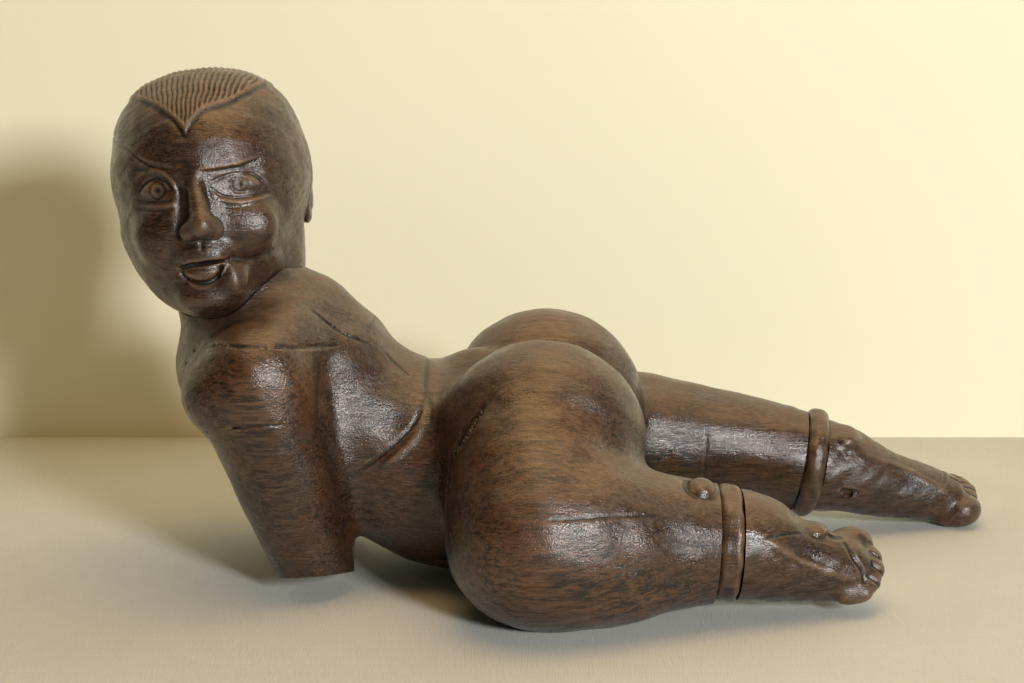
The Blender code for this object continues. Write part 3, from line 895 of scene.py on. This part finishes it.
def aged_wood(name):
    """Old dark hardwood: grain along X, worn and sooty patches, a dusty film with painted top light on upward
    faces, painted shade in grooves, and a pitted dull gloss.
    """
    n = Nodes(name)
    fine = n.noise(n.spot((60, 1000, 1000)), 1.0, 4.0, 0.65)
    grain = n.noise(n.spot((26, 420, 420)), 1.0, 5.0, 0.65, 0.3)
    cloud = n.noise(n.spot((20, 36, 36)), 1.0, 5.0, 0.65)
    patch = n.noise(n.spot((24, 60, 60)), 1.0, 5.0, 0.65)
    streak = n.noise(n.spot((40, 230, 230)), 1.0, 6.0, 0.7, 0.5)
    pits = n.noise(n.spot((800, 950, 950)), 1.0, 2.0, 0.6)
    facing = n.put("ShaderNodeSeparateXYZ")
    n.link(n.put("ShaderNodeNewGeometry").outputs["Normal"], facing, "Vector")
    colour = n.mix(n.ramp(grain, 0.36, 0.64), (0.007, 0.004, 0.003), (0.042, 0.020, 0.011))
    colour = n.mix(n.sum("MULTIPLY", n.ramp(cloud, 0.44, 0.62), 0.6), colour, (0.066, 0.025, 0.010))
    colour = n.mix(n.sum("MULTIPLY", n.ramp(fine, 0.50, 0.64), 0.5), colour, (0.105, 0.055, 0.028))
    colour = n.mix(n.ramp(fine, 0.47, 0.38, 0.0, 0.75), colour, (0.006, 0.004, 0.003))
    worn = n.sum("MULTIPLY", n.value("worn"), n.ramp(grain, 0.40, 0.58, 0.1, 1.0))
    colour = n.mix(n.sum("MULTIPLY", worn, 0.65), colour, (0.135, 0.057, 0.021))
    sooty = n.sum("MULTIPLY", n.value("sooty"), n.ramp(streak, 0.50, 0.58))
    sooty = n.sum("MAXIMUM", sooty, n.sum("MULTIPLY", n.ramp(streak, 0.60, 0.68), 0.6))
    colour = n.mix(sooty, colour, (0.007, 0.006, 0.006))
    # a dusty film, and painted top light: faces turned up are drawn lighter, greyer and duller
    dust_and_top_light = n.sum("MULTIPLY", n.ramp(facing.outputs["Z"], 0.40, 0.98), n.ramp(patch, 0.30, 0.70, 0.2, 0.6))
    dust_and_top_light = n.sum("MULTIPLY", dust_and_top_light, n.ramp(fine, 0.36, 0.60, 0.55, 1.0))
    colour = n.mix(dust_and_top_light, colour, (0.20, 0.125, 0.072))
    hollow = n.value("hollow")
    # painted shade: grooves, hollows and the line where the near thigh meets the belly are darkened where
    # shade falls
    groove_shade = n.sum("MAXIMUM", n.ramp(hollow, 0.05, 0.75, 0.0, 0.8), n.ramp(n.value("crease_shade"), 0.1, 0.7))
    colour = n.mix(groove_shade, colour, (0.005, 0.004, 0.003))
    colour = n.mix(n.ramp(hollow, -0.15, -0.8, 0.0, 0.45), colour, (0.20, 0.125, 0.075))
    rough = n.sum("ADD", n.ramp(patch, 0.35, 0.65, 0.22, 0.40), n.sum("MULTIPLY", dust_and_top_light, 0.35))
    height = n.sum("ADD", n.sum("MULTIPLY", pits, 0.9), n.sum("MULTIPLY", fine, 0.6))
    height = n.sum("ADD", height, n.sum("MULTIPLY", sooty, -0.25))
    normal = n.bump(height, 0.4, 0.0009)
    polish = n.sum("MULTIPLY", n.sum("SUBTRACT", 1.0, dust_and_top_light), n.ramp(grain, 0.38, 0.58, 0.12, 0.55))
    n.link(polish, n.shader, "Coat Weight")
    n.link(0.2, n.shader, "Coat Roughness")
    n.link(n.bump(height, 0.45, 0.0008), n.shader, "Coat Normal")
    return n.finish(colour, rough, normal, 0.55)


def bare_wood(name):
    """Dowels: pale straight-grained wood."""
    n = Nodes(name)
    grain = n.noise(n.spot((300, 60, 300)), 1.0, 4.0, 0.6)
    colour = n.mix(n.ramp(grain, 0.3, 0.7), (0.16, 0.09, 0.045), (0.42, 0.28, 0.16))
    return n.finish(colour, n.ramp(grain, 0.3, 0.7, 0.75, 0.6), n.bump(grain, 0.4, 0.0004))


def canvas(name):
    """A pale woven cloth."""
    n = Nodes(name)
    mottle = n.noise(n.spot((3, 3, 3)), 1.0, 5.0, 0.6)
    warp = n.noise(n.spot((1400, 60, 60)), 1.0, 2.0, 0.5)
    weft = n.noise(n.spot((60, 1400, 60)), 1.0, 2.0, 0.5)
    weave = n.sum("ADD", warp, weft)
    colour = n.mix(n.ramp(mottle, 0.3, 0.7), (0.54, 0.55, 0.52), (0.60, 0.61, 0.58))
    colour = n.mix(n.ramp(weave, 0.7, 1.3, 0.0, 0.25), colour, (0.44, 0.44, 0.44))
    return n.finish(colour, 0.95, n.bump(weave, 0.35, 0.0006), 0.1)


def plaster(name):
    """A cream painted wall."""
    n = Nodes(name)
    mottle = n.noise(n.spot((2, 2, 2)), 1.0, 3.0, 0.5)
    fine = n.noise(n.spot((120, 120, 120)), 1.0, 3.0, 0.5)
    colour = n.mix(n.ramp(mottle, 0.3, 0.7), (0.87, 0.85, 0.665), (0.89, 0.87, 0.685))
    return n.finish(colour, 0.85, n.bump(fine, 0.1, 0.001), 0.2)


# ---- stage, light and camera

def sheet(name, corners, material):
    mesh = bpy.data.meshes.new(name)
    mesh.from_pydata(corners, [], [(0, 1, 2, 3)])
    mesh.materials.append(material)
    thing = bpy.data.objects.new(name, mesh)
    bpy.context.scene.collection.objects.link(thing)
    return thing


def lamp(name, place, target, size, energy, colour):
    data = bpy.data.lights.new(name, "AREA")
    data.shape = "RECTANGLE"
    data.size, data.size_y = size
    data.energy, data.color = energy, colour
    thing = bpy.data.objects.new(name, data)
    thing.location = place
    thing.rotation_euler = (Vector(target) - Vector(place)).to_track_quat("-Z", "Y").to_euler()
    bpy.context.scene.collection.objects.link(thing)


def one_sided(material):
    """Lets a camera behind the surface see through it."""
    tree = material.node_tree
    out = tree.nodes["Material Output"]
    clear = tree.nodes.new("ShaderNodeBsdfTransparent")
    side = tree.nodes.new("ShaderNodeNewGeometry")
    mix = tree.nodes.new("ShaderNodeMixShader")
    tree.links.new(side.outputs["Backfacing"], mix.inputs[0])
    tree.links.new(tree.nodes["Principled BSDF"].outputs[0], mix.inputs[1])
    tree.links.new(clear.outputs[0], mix.inputs[2])
    tree.links.new(mix.outputs[0], out.inputs["Surface"])
    return material


def set_stage():
    wall = 0.33
    sheet("floor", [(-4, -4, 0), (4, -4, 0), (4, 4, 0), (-4, 4, 0)], canvas("pale_canvas"))
    paint = one_sided(plaster("cream_paint"))
    sheet("backdrop", [(-4, wall, 0), (4, wall, 0), (4, wall, 3), (-4, wall, 3)], paint)
    lamp("key", (1.45, -2.6, 1.15), (0, 0, 0.16), (0.5, 0.5), 90, (1.0, 0.98, 0.95))
    lamp("top", (0.1, -0.1, 2.0), (0, 0, 0), (1.6, 1.2), 21, (1.0, 0.66, 0.30))
    world = bpy.data.worlds.new("studio")
    world.use_nodes = True
    world.node_tree.nodes["Background"].inputs["Color"].default_value = (1.0, 0.8, 0.55, 1)
    world.node_tree.nodes["Background"].inputs["Strength"].default_value = 0.04
    bpy.context.scene.world = world
    bpy.context.scene.view_settings.view_transform = "Standard"


def set_camera():
    data = bpy.data.cameras.new("camera")
    data.sensor_width, data.lens = 36.0, 70.0
    camera = bpy.data.objects.new("camera", data)
    down, distance, target = math.radians(13), 1.35, Vector((0, 0, 0.1605))
    camera.location = target + Vector((0, -math.cos(down), math.sin(down))) * distance
    camera.rotation_euler = (math.pi / 2 - down, 0, 0)
    bpy.context.scene.collection.objects.link(camera)
    bpy.context.scene.camera = camera


# ---- assembly

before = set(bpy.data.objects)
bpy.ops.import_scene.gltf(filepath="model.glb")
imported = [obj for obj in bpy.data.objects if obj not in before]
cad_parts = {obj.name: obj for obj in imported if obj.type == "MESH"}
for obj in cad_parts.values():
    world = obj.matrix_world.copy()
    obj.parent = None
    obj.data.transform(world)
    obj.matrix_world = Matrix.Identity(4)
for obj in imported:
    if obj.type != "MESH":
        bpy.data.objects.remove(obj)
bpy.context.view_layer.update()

BODY_LOW, BODY_HIGH = np.array((-300, -190, -40)), np.array((380, 190, 290))
body = Carved(Blurred(body_mass, BODY_LOW, BODY_HIGH, 4.5, 6.75), BODY_KNOBS, BODY_LINES, BODY_UNEVEN)
regions = {"left_arm": arm_region(1), "right_arm": arm_region(-1),
           "left_leg": leg_region(1, (LEFT_THIGH, LEFT_SHIN), LEFT_BUTTOCK),
           "right_leg": leg_region(-1, (RIGHT_THIGH, RIGHT_SHIN), RIGHT_BUTTOCK)}
skull = Head()

old_wood = aged_wood("aged_carved_wood")
WOODS = {"carved": ("carved_wood", old_wood), "turned": ("anklet_wood", aged_wood("aged_ring_wood"))}

# path of the painted shade line between the near thigh and the belly
HIP_SHADE_LINE = ((-6, -88, 149), (-17, -91, 140), (-27, -93, 129), (-34, -93, 115), (-40, -90, 103),
              (-41, -102, 82), (-40, -120, 66))


def blob(*spots):
    """A mark that fades out from each (centre, radii)."""
    def mark(p):
        out = np.zeros(len(p), np.float32)
        for centre, radii in spots:
            e = (p - np.array(centre, np.float32)) / np.array(radii, np.float32)
            out = np.maximum(out, np.exp(-(e * e).sum(1)))
        return out
    return mark


def hip_crease_shade(p):
    """Painted shade: a dark line where the near thigh meets the belly."""
    return stroke(p, rounded_path(HIP_SHADE_LINE), 3.4, 1.0, taper=0.35)


WORN = (((28, -130, 112), (48, 50, 52)), ((18, -150, 60), (50, 40, 30)), ((-150, -95, 150), (40, 40, 22)),
        ((30, 60, 175), (60, 60, 30)), ((60, -140, 25), (60, 40, 18)))
SOOTY = (((25, -150, 112), (42, 40, 22)), ((50, -155, 45), (62, 40, 26)), ((80, -140, 30), (50, 40, 22)),
         ((100, 60, 62), (60, 40, 30)), ((-90, -60, 150), (40, 30, 26)), ((290, 70, 40), (50, 30, 25)))
# worn and sooty mark stains on the wood; the third mark is painted shade where the near thigh meets the belly
MARKS = {"worn": blob(*WORN), "sooty": blob(*SOOTY), "crease_shade": hip_crease_shade}


def neck_hole(p):
    return rod(p, NECK_POINT, NECK_NORMAL, *NECK_BORE)


def shoulder_hole(p, side):
    x, y, z = SHOULDER_DOWEL
    return rod(p, (x, -side * y, z), ACROSS, *SHOULDER_BORE)


def hip_holes(p):
    first, second = (rod(p, place, ACROSS, *HIP_BORE) for place in HIP_DOWELS)
    return np.minimum(first, second)


def head_cut(p):
    return np.maximum(SEAM - beyond(p, NECK_POINT, NECK_NORMAL), -neck_hole(p))


def trunk_cut(p):
    above = np.minimum(beyond(p, NECK_POINT, NECK_NORMAL) + SEAM, NECK_CREASE - skull.mass(p))
    d = np.maximum(above, -p[:, 2])
    for region in regions.values():
        d = np.maximum(d, SEAM - region(p))
    for hole in (neck_hole(p), shoulder_hole(p, -1), shoulder_hole(p, 1), hip_holes(p)):
        d = np.maximum(d, -hole)
    return d


def arm_cut(name, side):
    point = STUMP_POINT * (1, side, 1)
    normal = STUMP_NORMAL * (1, side, 1)

    def cut(p):
        d = np.maximum(regions[name](p) + SEAM, beyond(p, point, normal))
        return np.maximum(d, -shoulder_hole(p, side))
    return cut


def leg_cut(name, ankle):
    shin_end = ankle.centre - ankle.axis * RING_WIDTH / 2

    def cut(p):
        d = np.maximum(regions[name](p) + SEAM, beyond(p, shin_end, ankle.axis))
        return np.maximum(np.maximum(d, -hip_holes(p)), -p[:, 2])
    return cut


def tenon(ankle):
    length = TENON_ROOT + RING_WIDTH + ankle.tenon - GAP
    middle = ankle.centre + ankle.axis * (length / 2 - RING_WIDTH / 2 - TENON_ROOT)

    def field(p):
        peg_hole = rod(p, ankle.peg + ankle.out * 15, ankle.out, PEG_HOLE, 26)
        return np.maximum(rod(p, middle, ankle.axis, TENON_RADIUS, length), -peg_hole)
    return field


def foot_cut(ankle):
    face = ankle.centre + ankle.axis * RING_WIDTH / 2

    def cut(p):
        d = np.maximum(-beyond(p, face, ankle.axis), -p[:, 2])
        d = np.maximum(d, -rod(p, face, ankle.axis, TENON_RADIUS + GAP, 2 * (ankle.tenon + GAP)))
        return np.maximum(d, -rod(p, ankle.peg + ankle.out * 25, ankle.out, PEG_HOLE, 50))
    return cut


def ring_cut(ankle):
    def cut(p):
        return -rod(p, ankle.centre, ankle.axis, TENON_RADIUS + GAP, 60)
    return cut


def ring_field(ankle):
    """A turned ring, worn uneven."""
    half, rounding = RING_WIDTH / 2 - GAP, ankle.rounding

    def field(p):
        d = p - ankle.centre.astype(np.float32)
        along = np.abs(d @ ankle.axis.astype(np.float32))
        across = np.sqrt(np.maximum((d * d).sum(1) - along * along, 0))
        a, b = across - (ankle.radius - rounding), along - (half - rounding)
        rim = np.hypot(np.maximum(a, 0), np.maximum(b, 0)) + np.minimum(np.maximum(a, b), 0) - rounding
        ring = np.maximum(np.where(a < 0, along - half, rim), along - half)
        return ring + 0.35 * waves(p, 16, 31) * fade(a, -2, 1)
    return field


# boxes round the blocks, and the steps of their grids
HEAD_BOX, HEAD_STEP = ((-285, -90, 170), (-115, 100, 355)), 0.7
TRUNK_BOX, TRUNK_STEP = ((-245, -110, -5), (80, 110, 235)), 1.42
ARM_STEP, LEG_STEP, FOOT_STEP = 0.95, 1.34, 0.85

carve("carved", "head", skull, head_cut, *HEAD_BOX, HEAD_STEP)
carve("carved", "trunk", body, trunk_cut, *TRUNK_BOX, TRUNK_STEP)
for name, side, (y0, y1) in (("left_arm", 1, (-115, -20)), ("right_arm", -1, (12, 115))):
    carve("carved", name, body, arm_cut(name, side), (-220, y0, -5), (-95, y1, 185), ARM_STEP)
for name, ankle, (y0, y1) in (("left_leg", LEFT_ANKLE, (-175, -5)), ("right_leg", RIGHT_ANKLE, (5, 175))):
    end = ankle.centre[0] + 50
    carve("carved", name, body, leg_cut(name, ankle), (-65, y0, -5), (end, y1, 190), LEG_STEP, tenon(ankle))
for name, ankle, sole, toes, knobs, lines in (
        ("left", LEFT_ANKLE, LEFT_SOLE, LEFT_TOES, LEFT_FOOT_KNOBS, LEFT_FOOT_LINES),
        ("right", RIGHT_ANKLE, RIGHT_SOLE, RIGHT_TOES, RIGHT_FOOT_KNOBS, RIGHT_FOOT_LINES)):
    low, high = box_of(*sole, *toes)
    mass = Blurred(foot_mass(sole, toes), low - 10, high + 10, 2.2, 2.6)
    foot = Carved(mass, knobs, lines, FOOT_UNEVEN)
    carve("carved", name + "_foot", foot, foot_cut(ankle), low, high, FOOT_STEP)
    reach = ankle.radius + 6
    low, high = ankle.centre - reach, ankle.centre + reach
    carve("turned", name + "_anklet", ring_field(ankle), ring_cut(ankle), low, high, FOOT_STEP)

dowel = bare_wood("dowel_timber")
for name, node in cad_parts.items():
    if name.endswith(("dowel", "peg")):
        for slot in node.material_slots:
            slot.material = dowel if name.endswith("dowel") else old_wood

set_stage()
set_camera()
